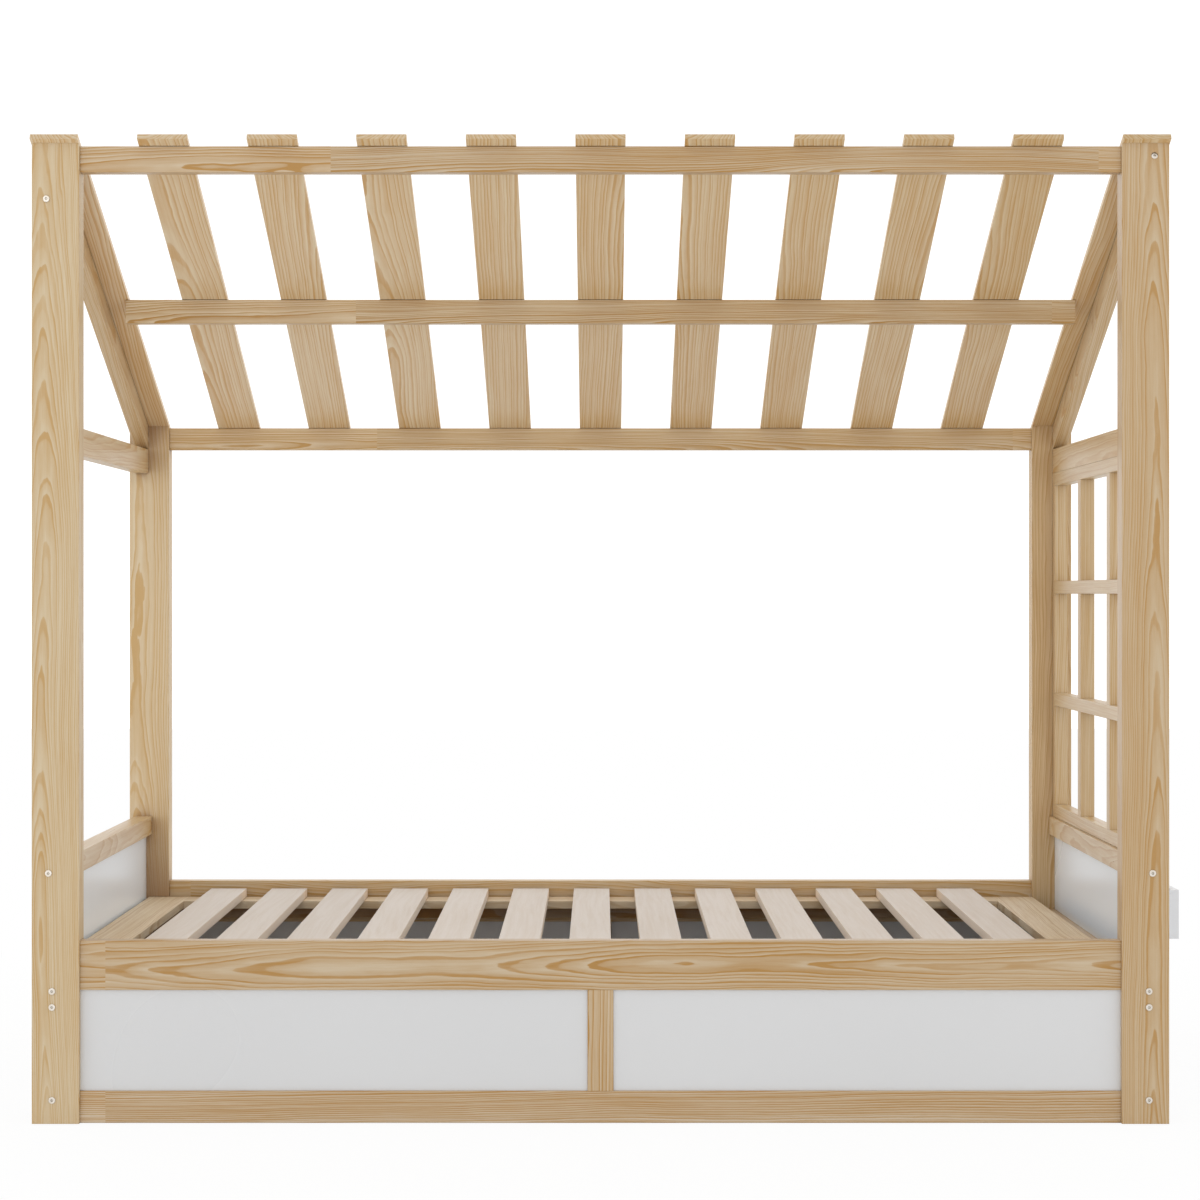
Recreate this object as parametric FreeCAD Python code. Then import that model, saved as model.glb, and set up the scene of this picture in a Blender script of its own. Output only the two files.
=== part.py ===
import FreeCAD, Part
import math
import os

# House frame bed for a child: a low bed box with white panels, four posts, and a lean-to
# roof of spaced slats that falls from the tall front posts to the short rear posts.
# The right-hand end has a window grille and, outside it, a white flower box.
#
# All sizes are in mm. X runs along the bed, Y from front to back and Z up. Sizes are laid
# out from the middle of the four posts on the floor. The finished pieces are then moved so
# that the origin is the middle of the whole bed's footprint.

# Whole frame
BED_LENGTH = 2020.0          # over the outer faces of the posts
CLEAR_DEPTH = 1000.0         # between the front and rear posts
POST_WIDTH = 84.0            # along X
POST_DEPTH = 46.0            # along Y
TIMBER = 28.0                # thickness of rails, beams and rafters
EASE = 1.0                   # rounding of the long edges of the timber
SLAT_EASE = 0.8              # rounding of the long edges of slats and boards

# Roof
ROOF_HIGH = 1741.7           # underside of the slats over the front face of the front posts
ROOF_FALL = 0.4216           # fall for each mm towards the back
BEAM_HEIGHT = 47.0           # ridge beam, purlin and eave beam, on their front faces
PURLIN_HALF_LENGTH = 932.0   # the purlin hangs from the slats, short of the rafters
PURLIN_FRONT = -17.0         # front face of the purlin
RAFTER_DROP = 50.0           # upright depth of a rafter
HEEL_BLOCK_LENGTH = 80.0     # under the front end of the left rafter
HEEL_BLOCK_BOTTOM = 1612.0
TIE_BEAM_HEIGHT = 51.5
ROOF_SLAT_COUNT = 11
ROOF_SLAT_WIDTH = 89.0
ROOF_SLAT_PITCH = 194.2      # between the middles of the slats that lie on the beams
END_ROOF_SLAT_WIDTH = 85.0   # the first and the last slat, which lie on the posts
END_ROOF_SLAT_CENTRE = 969.0
ROOF_SLAT_THICKNESS = 10.0
ROOF_SLAT_OVERHANG = 13.0    # past the posts, along the slope

# Long sides of the bed box
SIDE_INSET = 9.0             # rails stand back from the outer faces of the posts
SIDE_RAIL_BOTTOM = 236.5
SIDE_RAIL_TOP = 324.5
BOTTOM_RAIL_TOP = 57.0
STILE_WIDTH = 46.0
PANEL_THICKNESS = 9.0
PANEL_INSET = 13.5           # panels stand back from the outer faces of the posts
PANEL_TONGUE = 7.0           # how far a panel reaches into its grooves
GROOVE_SPARE = 1.0           # empty depth past the edge of a panel
TENON_HALF_WIDTH = 15.0      # stub tenons of the stiles, in the rail grooves
TENON_LENGTH = 7.5

# Ends
END_FACE = 998.0             # outer face of the guard rails, tie beams, rafters and window
GUARD_RAIL_DEPTH = 35.5      # along X
GUARD_RAIL_BOTTOM = 425.0
GUARD_RAIL_TOP = 464.0
MID_RAIL_FACE = 988.0        # outer face of the mid and bottom rails of the ends
MID_RAIL_BOTTOM = 177.0
MID_RAIL_TOP = 265.0
END_PANEL_FACE = 983.5       # outer face of the end panels

# Window grille in the right-hand end
WINDOW_BAR = 27.0            # height of its rails and crossbars
WINDOW_STILE = 28.0          # width of its stiles, along Y
MUNTIN_WIDTH = 34.0          # along Y
MUNTIN_CENTRE = 163.0        # each side of the middle
CROSSBAR_BOTTOMS = (702.0, 941.0)

# Slatted base
SLAT_FRAME_LEFT = -968.0     # it lies against the left end, as in the picture
SLAT_FRAME_RIGHT = 926.0
SLAT_FRAME_HALF_DEPTH = 499.0
SLAT_FRAME_BOARD = 86.0      # width of its four boards
SLAT_FRAME_THICKNESS = 16.0
SLAT_FRAME_BOTTOM = 275.0
BED_SLAT_COUNT = 13
BED_SLAT_WIDTH = 76.0
BED_SLAT_PITCH = 129.6
BED_SLATS_CENTRE = -19.0     # middle of the middle slat
BED_SLAT_THICKNESS = 18.0
CLEAT_DEPTH = 22.0           # along Y
CLEAT_HEIGHT = 28.0
CLEAT_HALF_LENGTH = 900.0

# Flower box outside the right-hand end
FLOWER_BOX_OUTER = 1078.0
FLOWER_BOX_HALF_LENGTH = 296.0
FLOWER_BOX_BOTTOM = 298.0
FLOWER_BOX_TOP = 389.0
FLOWER_BOX_BACK_TOP = 455.0  # the back board laps the guard rail
FLOWER_BOX_BOARD = 12.0

# Fasteners
BOLT_RADIUS = 3.0
BOLT_HOLE_RADIUS = 3.5
BOLT_HEAD_RADIUS = 6.0
BOLT_HEAD_THICKNESS = 2.0
BOLT_HEAD_ROUNDING = 0.7
BOLT_SOCKET_RADIUS = 2.6     # across the corners of the hexagonal socket
BOLT_SOCKET_DEPTH = 1.5
SHORT_BOLT = 90.0            # through a post's depth into an end timber
LONG_BOLT = 130.0            # through a post's width into a long timber
NUT_RADIUS = 5.0
NUT_HALF_LENGTH = 8.0
NUT_FROM_BOLT_TIP = 12.0
NUT_SLOT = 1.2
SLANT_BOLT_RECESS = 2.6      # depth of the slanted seat of a rafter bolt
SLANT_BOLT_DROP = 22.0       # its axis below the underside of the roof slats
WOOD_SCREW_LENGTH = 38.0
WOOD_SCREW_RADIUS = 2.0
SMALL_SCREW_LENGTH = 28.0
SMALL_SCREW_RADIUS = 1.75
DOWEL_RADIUS = 4.0
DOWEL_LENGTH = 30.0
DOWEL_CHAMFER = 0.8
DOWEL_HOLE_SPARE = 0.5

# Heights of the bolts, from the heads that show on the front posts
GUARD_BOLT_Z = 445.0
MID_BOLTS_Z = (207.0, 235.4)
BOTTOM_BOLT_Z = 42.0
HEEL_BOLT_Z = 1642.6
SIDE_RAIL_BOLTS_Z = (264.0, 300.0)
SIDE_BOTTOM_BOLT_Z = 28.5
RIDGE_BOLT_Z = 1700.0
EAVE_BOLT_Z = 1260.0

# Places worked out from the sizes above
HALF_LENGTH = BED_LENGTH / 2
INNER_X = HALF_LENGTH - POST_WIDTH
INNER_Y = CLEAR_DEPTH / 2
HALF_DEPTH = INNER_Y + POST_DEPTH
POST_CENTRE_Y = HALF_DEPTH - POST_DEPTH / 2
ROOF_ANGLE = math.atan(ROOF_FALL)
END_INNER_FACE = END_FACE - TIMBER
END_CENTRE_X = END_FACE - TIMBER / 2
GUARD_CENTRE_X = END_FACE - GUARD_RAIL_DEPTH / 2
MID_CENTRE_X = MID_RAIL_FACE - TIMBER / 2
SLAT_FRAME_TOP = SLAT_FRAME_BOTTOM + SLAT_FRAME_THICKNESS
SLAT_FRAME_CENTRE_Y = SLAT_FRAME_HALF_DEPTH - SLAT_FRAME_BOARD / 2
BED_SLAT_TOP = SLAT_FRAME_TOP + BED_SLAT_THICKNESS

X_WAY = FreeCAD.Vector(1, 0, 0)
Y_WAY = FreeCAD.Vector(0, 1, 0)
Z_WAY = FreeCAD.Vector(0, 0, 1)
DOWN_THE_ROOF = FreeCAD.Vector(0, math.cos(ROOF_ANGLE), -math.sin(ROOF_ANGLE))
OUT_OF_THE_ROOF = FreeCAD.Vector(0, math.sin(ROOF_ANGLE), math.cos(ROOF_ANGLE))

LEFT, RIGHT = -1, 1
FRONT, REAR = -1, 1
END_NAMES = {LEFT: "left", RIGHT: "right"}
SIDE_NAMES = {FRONT: "front", REAR: "rear"}

nodes = {}                   # name of each piece: its solids
holes = {}                   # name of each piece: what is cut out of it


def add(name, *solids):
    """Put one or more solids into the named piece."""
    nodes.setdefault(name, []).extend(solids)


def cut_out(tool, *names):
    """Cut the tool's shape out of each named piece when it is finished."""
    for name in names:
        holes.setdefault(name, []).append(tool)


# Shapes

def roof_z(y):
    """Height of the underside of the roof slats at this place from front to back."""
    return ROOF_HIGH - ROOF_FALL * (y + HALF_DEPTH)


def box(xs, ys, zs):
    """A box between two limits on each axis, given in either order."""
    x0, x1 = sorted(xs)
    y0, y1 = sorted(ys)
    z0, z1 = sorted(zs)
    return Part.makeBox(x1 - x0, y1 - y0, z1 - z0, FreeCAD.Vector(x0, y0, z0))


def eased(solid, way, radius=EASE):
    """The solid with its straight edges along one way rounded."""
    edges = [edge for edge in solid.Edges
             if abs(edge.tangentAt(edge.FirstParameter).dot(way)) > 0.999]
    return solid.makeFillet(radius, edges)


def timber(xs, ys, zs, way, radius=EASE):
    """A squared length of wood, its long edges rounded."""
    return eased(box(xs, ys, zs), way, radius)


def side_prism(outline, xs):
    """An outline of (y, z) corners made solid between two places along X."""
    x0, x1 = sorted(xs)
    corners = [FreeCAD.Vector(x0, y, z) for y, z in outline]
    face = Part.Face(Part.makePolygon(corners + corners[:1]))
    return face.extrude(FreeCAD.Vector(x1 - x0, 0, 0))


def placed(shape, point, way):
    """A copy of a shape that was made up the Z axis, turned along way and moved to point."""
    copy = shape.copy()
    copy.Placement = FreeCAD.Placement(point, FreeCAD.Rotation(Z_WAY, way))
    return copy


# Fasteners, each made up the Z axis in the way that it is driven

def bolt_shape(length):
    """Furniture bolt: a flat round head with a hexagonal socket below Z = 0, and its shank."""
    head = Part.makeCylinder(BOLT_HEAD_RADIUS, BOLT_HEAD_THICKNESS,
                             FreeCAD.Vector(0, 0, -BOLT_HEAD_THICKNESS))
    rim = [edge for edge in head.Edges
           if edge.BoundBox.ZMax < -BOLT_HEAD_THICKNESS / 2]
    head = head.makeFillet(BOLT_HEAD_ROUNDING, rim)
    corners = []
    for index in range(7):
        turn = math.radians(60 * index)
        corners.append(FreeCAD.Vector(BOLT_SOCKET_RADIUS * math.cos(turn),
                                      BOLT_SOCKET_RADIUS * math.sin(turn),
                                      -BOLT_HEAD_THICKNESS))
    socket = Part.Face(Part.makePolygon(corners)).extrude(Z_WAY * BOLT_SOCKET_DEPTH)
    shank = Part.makeCylinder(BOLT_RADIUS, length)
    return head.cut(socket).fuse(shank).removeSplitter()


def screw_blank(radius, length):
    """Countersunk screw with no recess, its head flush with Z = 0."""
    head_depth = radius * 1.3
    corners = [(0, 0), (2 * radius, 0), (radius, head_depth),
               (radius, length - 1.5 * radius), (0, length)]
    points = [FreeCAD.Vector(r, 0, z) for r, z in corners]
    face = Part.Face(Part.makePolygon(points + points[:1]))
    return face.revolve(FreeCAD.Vector(0, 0, 0), Z_WAY, 360)


def screw_shape(radius, length):
    """The same screw with a cross recess in its head."""
    reach = 1.2 * radius
    width = 0.28 * radius
    depth = 0.7 * radius
    cross = box((-reach, reach), (-width, width), (0, depth)).fuse(
        box((-width, width), (-reach, reach), (0, depth)))
    return screw_blank(radius, length).cut(cross)


def dowel_shape():
    """Round wooden dowel with chamfered ends, its middle at the origin."""
    dowel = Part.makeCylinder(DOWEL_RADIUS, DOWEL_LENGTH,
                              FreeCAD.Vector(0, 0, -DOWEL_LENGTH / 2))
    rims = [edge for edge in dowel.Edges if edge.BoundBox.ZLength < DOWEL_CHAMFER]
    return dowel.makeChamfer(DOWEL_CHAMFER, rims)


BOLTS = {length: bolt_shape(length) for length in (SHORT_BOLT, LONG_BOLT)}
BOLT_NODES = {SHORT_BOLT: "end_timber_bolts", LONG_BOLT: "long_rail_bolts"}
WOOD_SCREW = screw_shape(WOOD_SCREW_RADIUS, WOOD_SCREW_LENGTH)
WOOD_SCREW_HOLE = screw_blank(WOOD_SCREW_RADIUS, WOOD_SCREW_LENGTH)
SMALL_SCREW = screw_shape(SMALL_SCREW_RADIUS, SMALL_SCREW_LENGTH)
SMALL_SCREW_HOLE = screw_blank(SMALL_SCREW_RADIUS, SMALL_SCREW_LENGTH)
DOWEL = dowel_shape()
DOWEL_HOLE = Part.makeCylinder(DOWEL_RADIUS, DOWEL_LENGTH + 2 * DOWEL_HOLE_SPARE,
                               FreeCAD.Vector(0, 0, -DOWEL_LENGTH / 2 - DOWEL_HOLE_SPARE))


def join_with_bolt(seat, way, length, nut_mouth, post, rail):
    """A bolt from its seat on the post into a barrel nut in the rail.

    nut_mouth is the way from the nut to the face where its bore opens.
    """
    add(BOLT_NODES[length], placed(BOLTS[length], seat, way))
    shank = placed(Part.makeCylinder(BOLT_RADIUS, length), seat, way)
    hole = placed(Part.makeCylinder(BOLT_HOLE_RADIUS, length + BOLT_RADIUS), seat, way)
    cut_out(hole, post, rail)

    centre = seat + way * (length - NUT_FROM_BOLT_TIP)
    inner_end = centre - nut_mouth * NUT_HALF_LENGTH
    outer_end = centre + nut_mouth * NUT_HALF_LENGTH
    nut = Part.makeCylinder(NUT_RADIUS, 2 * NUT_HALF_LENGTH, inner_end, nut_mouth)
    slot_size = FreeCAD.Vector(NUT_SLOT, NUT_SLOT, 2 * NUT_RADIUS)
    slot = Part.makeBox(slot_size.x, slot_size.y, slot_size.z, outer_end - slot_size * 0.5)
    add("barrel_nuts", nut.cut(shank).cut(slot))
    bore = Part.makeCylinder(NUT_RADIUS, NUT_HALF_LENGTH + TIMBER, inner_end, nut_mouth)
    cut_out(bore, rail)


def join_with_slanted_bolt(face_point, way, nut_mouth, post, rafter):
    """A bolt along a rafter, its head in a slanted seat in the post's face."""
    seat = face_point + way * SLANT_BOLT_RECESS
    pocket = placed(Part.makeCylinder(BOLT_HEAD_RADIUS, 4 * SLANT_BOLT_RECESS), seat, way * -1)
    cut_out(pocket, post)
    join_with_bolt(seat, way, SHORT_BOLT, nut_mouth, post, rafter)


def drive_wood_screw(head, way, *names):
    """A screw with its head flush at one point, through every named piece."""
    add("wood_screws", placed(WOOD_SCREW, head, way))
    cut_out(placed(WOOD_SCREW_HOLE, head, way), *names)


def drive_small_screw(head, way, *names):
    """The same for the small screws."""
    add("small_screws", placed(SMALL_SCREW, head, way))
    cut_out(placed(SMALL_SCREW_HOLE, head, way), *names)


def join_with_dowel(middle, way, *names):
    """A dowel with its middle on the line between two pieces."""
    add("wood_dowels", placed(DOWEL, middle, way))
    cut_out(placed(DOWEL_HOLE, middle, way), *names)


# Posts and roof

def make_posts():
    """Four posts, their tops cut to the fall of the roof."""
    for side in (FRONT, REAR):
        ys = (side * INNER_Y, side * HALF_DEPTH)
        outline = [(min(ys), 0), (max(ys), 0),
                   (max(ys), roof_z(max(ys))), (min(ys), roof_z(min(ys)))]
        for end in (LEFT, RIGHT):
            post = side_prism(outline, (end * INNER_X, end * HALF_LENGTH))
            add(post_name(side, end), eased(post, Z_WAY))


def post_name(side, end):
    """Name of the post at this side and end."""
    return "post_" + SIDE_NAMES[side] + "_" + END_NAMES[end]


def roof_beam(y_front, half_length):
    """A beam along the bed with its top planed to the fall of the roof."""
    y_back = y_front + TIMBER
    bottom = roof_z(y_front) - BEAM_HEIGHT
    outline = [(y_front, bottom), (y_back, bottom),
               (y_back, roof_z(y_back)), (y_front, roof_z(y_front))]
    return eased(side_prism(outline, (-half_length, half_length)), X_WAY)


def make_roof_beams():
    """Ridge beam and eave beam between the posts, and the purlin between them."""
    add("ridge_beam", roof_beam(-HALF_DEPTH + SIDE_INSET, INNER_X))
    add("purlin", roof_beam(PURLIN_FRONT, PURLIN_HALF_LENGTH))
    add("eave_beam", roof_beam(HALF_DEPTH - SIDE_INSET - TIMBER, INNER_X))
    for end in (LEFT, RIGHT):
        for side, beam, z in ((FRONT, "ridge_beam", RIDGE_BOLT_Z), (REAR, "eave_beam", EAVE_BOLT_Z)):
            seat = FreeCAD.Vector(end * HALF_LENGTH, side * POST_CENTRE_Y, z)
            join_with_bolt(seat, X_WAY * -end, LONG_BOLT, Y_WAY, post_name(side, end), beam)


def make_end_frames():
    """At each end a rafter under the slats and a tie beam that carries its foot."""
    tie_top = roof_z(INNER_Y) - RAFTER_DROP
    tie_bottom = tie_top - TIE_BEAM_HEIGHT
    rafter_outline = [(-INNER_Y, roof_z(-INNER_Y) - RAFTER_DROP), (INNER_Y, tie_top),
                      (INNER_Y, roof_z(INNER_Y)), (-INNER_Y, roof_z(-INNER_Y))]
    for end in (LEFT, RIGHT):
        rafter = "rafter_" + END_NAMES[end]
        tie_beam = "tie_beam_" + END_NAMES[end]
        xs = (end * END_INNER_FACE, end * END_FACE)
        add(rafter, eased(side_prism(rafter_outline, xs), DOWN_THE_ROOF))
        add(tie_beam, timber(xs, (-INNER_Y, INNER_Y), (tie_bottom, tie_top), Y_WAY))
        for side in (FRONT, REAR):
            for lift in (-14, 14):
                middle = FreeCAD.Vector(end * END_CENTRE_X, side * INNER_Y,
                                        tie_bottom + TIE_BEAM_HEIGHT / 2 + lift)
                join_with_dowel(middle, Y_WAY, tie_beam, post_name(side, end))
        foot = FreeCAD.Vector(end * END_CENTRE_X, HALF_DEPTH, roof_z(HALF_DEPTH) - SLANT_BOLT_DROP)
        join_with_slanted_bolt(foot, DOWN_THE_ROOF * -1, X_WAY * end, post_name(REAR, end), rafter)
    head = FreeCAD.Vector(END_CENTRE_X, -HALF_DEPTH, roof_z(-HALF_DEPTH) - SLANT_BOLT_DROP)
    join_with_slanted_bolt(head, DOWN_THE_ROOF, X_WAY, post_name(FRONT, RIGHT), "rafter_right")


def make_heel_block():
    """Block under the front end of the left rafter, held by the low bolt of that post."""
    def underside(y):
        return roof_z(y) - RAFTER_DROP

    y_front = -INNER_Y
    y_back = y_front + HEEL_BLOCK_LENGTH
    outline = [(y_front, HEEL_BLOCK_BOTTOM), (y_back, HEEL_BLOCK_BOTTOM),
               (y_back, underside(y_back)), (y_front, underside(y_front))]
    add("rafter_heel_block", side_prism(outline, (-END_FACE, -END_INNER_FACE)))
    seat = FreeCAD.Vector(-END_CENTRE_X, -HALF_DEPTH, HEEL_BOLT_Z)
    join_with_bolt(seat, Y_WAY, SHORT_BOLT, X_WAY * LEFT, post_name(FRONT, LEFT), "rafter_heel_block")
    for y in (y_front + 15, y_back - 18):
        middle = FreeCAD.Vector(-END_CENTRE_X, y, underside(y))
        join_with_dowel(middle, OUT_OF_THE_ROOF, "rafter_heel_block", "rafter_left")


def make_roof_slats():
    """Slats down the fall of the roof, each screwed to the beams or the posts under it."""
    slope = math.cos(ROOF_ANGLE)
    high_edge = FreeCAD.Vector(0, -HALF_DEPTH, ROOF_HIGH) - DOWN_THE_ROOF * ROOF_SLAT_OVERHANG
    length = 2 * HALF_DEPTH / slope + 2 * ROOF_SLAT_OVERHANG
    corners = [high_edge, high_edge + DOWN_THE_ROOF * length]
    corners.append(corners[1] + OUT_OF_THE_ROOF * ROOF_SLAT_THICKNESS)
    corners.append(corners[0] + OUT_OF_THE_ROOF * ROOF_SLAT_THICKNESS)
    outline = [(corner.y, corner.z) for corner in corners]

    # Each screw crosses the underside of its slat 4 mm behind the middle of what it bites,
    # because it leans forward as it goes down.
    lean = 4
    for index in range(ROOF_SLAT_COUNT):
        name = "roof_slat_{:02d}".format(index + 1)
        if index in (0, ROOF_SLAT_COUNT - 1):
            end = LEFT if index == 0 else RIGHT
            x = end * END_ROOF_SLAT_CENTRE
            width = END_ROOF_SLAT_WIDTH
            bearings = [(-POST_CENTRE_Y, post_name(FRONT, end)), (POST_CENTRE_Y, post_name(REAR, end))]
        else:
            x = (index - (ROOF_SLAT_COUNT - 1) / 2) * ROOF_SLAT_PITCH
            width = ROOF_SLAT_WIDTH
            bearings = [(-POST_CENTRE_Y, "ridge_beam"), (PURLIN_FRONT + TIMBER / 2, "purlin"),
                        (POST_CENTRE_Y, "eave_beam")]
        xs = (x - width / 2, x + width / 2)
        add(name, eased(side_prism(outline, xs), DOWN_THE_ROOF, SLAT_EASE))
        for y, bearing in bearings:
            for sideways in (-25, 25):
                under = FreeCAD.Vector(x + sideways, y + lean, roof_z(y + lean))
                drive_wood_screw(under + OUT_OF_THE_ROOF * ROOF_SLAT_THICKNESS,
                                 OUT_OF_THE_ROOF * -1, name, bearing)


# Bed box

def make_panel(name, xs, ys, zs, tongue_x, tongue_y, neighbours):
    """A panel that reaches into grooves round its edges, which are cut in its neighbours.

    xs, ys and zs bound what shows of it. tongue_x and tongue_y are 1 where its edges on
    that axis are in grooves too, and 0 where that axis is its thickness.
    """
    def grown(spare):
        reach = PANEL_TONGUE + spare
        return box((min(xs) - tongue_x * reach, max(xs) + tongue_x * reach),
                   (min(ys) - tongue_y * reach, max(ys) + tongue_y * reach),
                   (min(zs) - reach, max(zs) + reach))

    add(name, grown(0))
    cut_out(grown(GROOVE_SPARE), *neighbours)


def make_long_sides():
    """Front and rear of the bed box: two rails, a stile and two panels each."""
    for side in (FRONT, REAR):
        word = SIDE_NAMES[side]
        outer = side * (HALF_DEPTH - SIDE_INSET)
        ys = (outer, outer - side * TIMBER)
        panel_outer = side * (HALF_DEPTH - PANEL_INSET)
        panel_ys = (panel_outer, panel_outer - side * PANEL_THICKNESS)
        rail = word + "_rail"
        bottom_rail = word + "_bottom_rail"
        stile = word + "_stile"
        full_length = (-INNER_X, INNER_X)
        add(rail, timber(full_length, ys, (SIDE_RAIL_BOTTOM, SIDE_RAIL_TOP), X_WAY))
        add(bottom_rail, timber(full_length, ys, (0, BOTTOM_RAIL_TOP), X_WAY))

        tenon = box((-TENON_HALF_WIDTH, TENON_HALF_WIDTH), panel_ys,
                    (BOTTOM_RAIL_TOP - TENON_LENGTH, SIDE_RAIL_BOTTOM + TENON_LENGTH))
        body = timber((-STILE_WIDTH / 2, STILE_WIDTH / 2), ys,
                      (BOTTOM_RAIL_TOP, SIDE_RAIL_BOTTOM), Z_WAY)
        add(stile, body.fuse(tenon).removeSplitter())
        groove = PANEL_TONGUE + GROOVE_SPARE
        stile_groove = (BOTTOM_RAIL_TOP - groove, SIDE_RAIL_BOTTOM + groove)
        cut_out(box((-STILE_WIDTH / 2, STILE_WIDTH / 2), panel_ys, stile_groove), rail, bottom_rail)

        for end in (LEFT, RIGHT):
            name = word + "_panel_" + END_NAMES[end]
            make_panel(name, (end * STILE_WIDTH / 2, end * INNER_X), panel_ys,
                       (BOTTOM_RAIL_TOP, SIDE_RAIL_BOTTOM), 1, 0,
                       (rail, bottom_rail, stile, post_name(side, end)))
            joints = [(z, rail) for z in SIDE_RAIL_BOLTS_Z] + [(SIDE_BOTTOM_BOLT_Z, bottom_rail)]
            for z, joined in joints:
                seat = FreeCAD.Vector(end * HALF_LENGTH, side * POST_CENTRE_Y, z)
                join_with_bolt(seat, X_WAY * -end, LONG_BOLT, Y_WAY, post_name(side, end), joined)


def make_ends():
    """Both ends of the bed box: guard rail, panel, mid rail, panel and bottom rail."""
    full_depth = (-INNER_Y, INNER_Y)
    for end in (LEFT, RIGHT):
        word = END_NAMES[end]
        guard_rail = word + "_guard_rail"
        mid_rail = word + "_mid_rail"
        bottom_rail = word + "_bottom_rail"
        posts = (post_name(FRONT, end), post_name(REAR, end))
        guard_xs = (end * END_FACE, end * (END_FACE - GUARD_RAIL_DEPTH))
        rail_xs = (end * MID_RAIL_FACE, end * (MID_RAIL_FACE - TIMBER))
        panel_xs = (end * END_PANEL_FACE, end * (END_PANEL_FACE - PANEL_THICKNESS))
        add(guard_rail, timber(guard_xs, full_depth, (GUARD_RAIL_BOTTOM, GUARD_RAIL_TOP), Y_WAY))
        add(mid_rail, timber(rail_xs, full_depth, (MID_RAIL_BOTTOM, MID_RAIL_TOP), Y_WAY))
        add(bottom_rail, timber(rail_xs, full_depth, (0, BOTTOM_RAIL_TOP), Y_WAY))
        make_panel(word + "_upper_panel", panel_xs, full_depth, (MID_RAIL_TOP, GUARD_RAIL_BOTTOM),
                   0, 1, (guard_rail, mid_rail) + posts)
        make_panel(word + "_lower_panel", panel_xs, full_depth, (BOTTOM_RAIL_TOP, MID_RAIL_BOTTOM),
                   0, 1, (mid_rail, bottom_rail) + posts)

        joints = [(GUARD_CENTRE_X, GUARD_BOLT_Z, guard_rail), (MID_CENTRE_X, BOTTOM_BOLT_Z, bottom_rail)]
        joints += [(MID_CENTRE_X, z, mid_rail) for z in MID_BOLTS_Z]
        for side in (FRONT, REAR):
            for x, z, rail in joints:
                seat = FreeCAD.Vector(end * x, side * HALF_DEPTH, z)
                join_with_bolt(seat, Y_WAY * -side, SHORT_BOLT, X_WAY * end, post_name(side, end), rail)


# Window

def make_window():
    """Grille of three by three panes between the right posts, guard rail and tie beam."""
    xs = (END_INNER_FACE, END_FACE)
    middle_x = END_CENTRE_X
    bottom = GUARD_RAIL_TOP
    top = roof_z(INNER_Y) - RAFTER_DROP - TIE_BEAM_HEIGHT
    stile_inner = INNER_Y - WINDOW_STILE
    across = (-stile_inner, stile_inner)
    muntin_zs = (bottom + WINDOW_BAR, top - WINDOW_BAR)
    crossbar_zs = [(z, z + WINDOW_BAR) for z in CROSSBAR_BOTTOMS]
    muntin_ways = [(side * MUNTIN_CENTRE - MUNTIN_WIDTH / 2, side * MUNTIN_CENTRE + MUNTIN_WIDTH / 2)
                   for side in (FRONT, REAR)]

    def dowel(y, z, way, *names):
        join_with_dowel(FreeCAD.Vector(middle_x, y, z), way, *names)

    for side in (FRONT, REAR):
        stile = timber(xs, (side * INNER_Y, side * stile_inner), (bottom, top), Z_WAY)
        add("window_stiles", stile)
        for z in (620, 1050):
            dowel(side * INNER_Y, z, Y_WAY, "window_stiles", post_name(side, RIGHT))
        for z in (bottom, top):
            inward = WINDOW_BAR / 2 if z == bottom else -WINDOW_BAR / 2
            dowel(side * stile_inner, z + inward, Y_WAY, "window_stiles", "window_rails")

    add("window_rails", timber(xs, across, (bottom, bottom + WINDOW_BAR), Y_WAY),
        timber(xs, across, (top - WINDOW_BAR, top), Y_WAY))
    for side in (FRONT, REAR):
        dowel(2 * side * MUNTIN_CENTRE, bottom, Z_WAY, "window_rails", "right_guard_rail")
        dowel(2 * side * MUNTIN_CENTRE, top, Z_WAY, "window_rails", "tie_beam_right")

    # The bars cross in halved joints: the crossbars keep the half on the bed's side.
    for zs in crossbar_zs:
        bar = timber(xs, across, zs, Y_WAY)
        for ys in muntin_ways:
            bar = bar.cut(box((middle_x, END_FACE), ys, zs))
        add("window_crossbars", bar)
        for side in (FRONT, REAR):
            dowel(side * stile_inner, sum(zs) / 2, Y_WAY, "window_crossbars", "window_stiles")
    for ys in muntin_ways:
        bar = timber(xs, ys, muntin_zs, Z_WAY)
        for zs in crossbar_zs:
            bar = bar.cut(box((END_INNER_FACE, middle_x), ys, zs))
        add("window_muntins", bar)
        for z in muntin_zs:
            dowel(sum(ys) / 2, z, Z_WAY, "window_muntins", "window_rails")


# Slatted base

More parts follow.
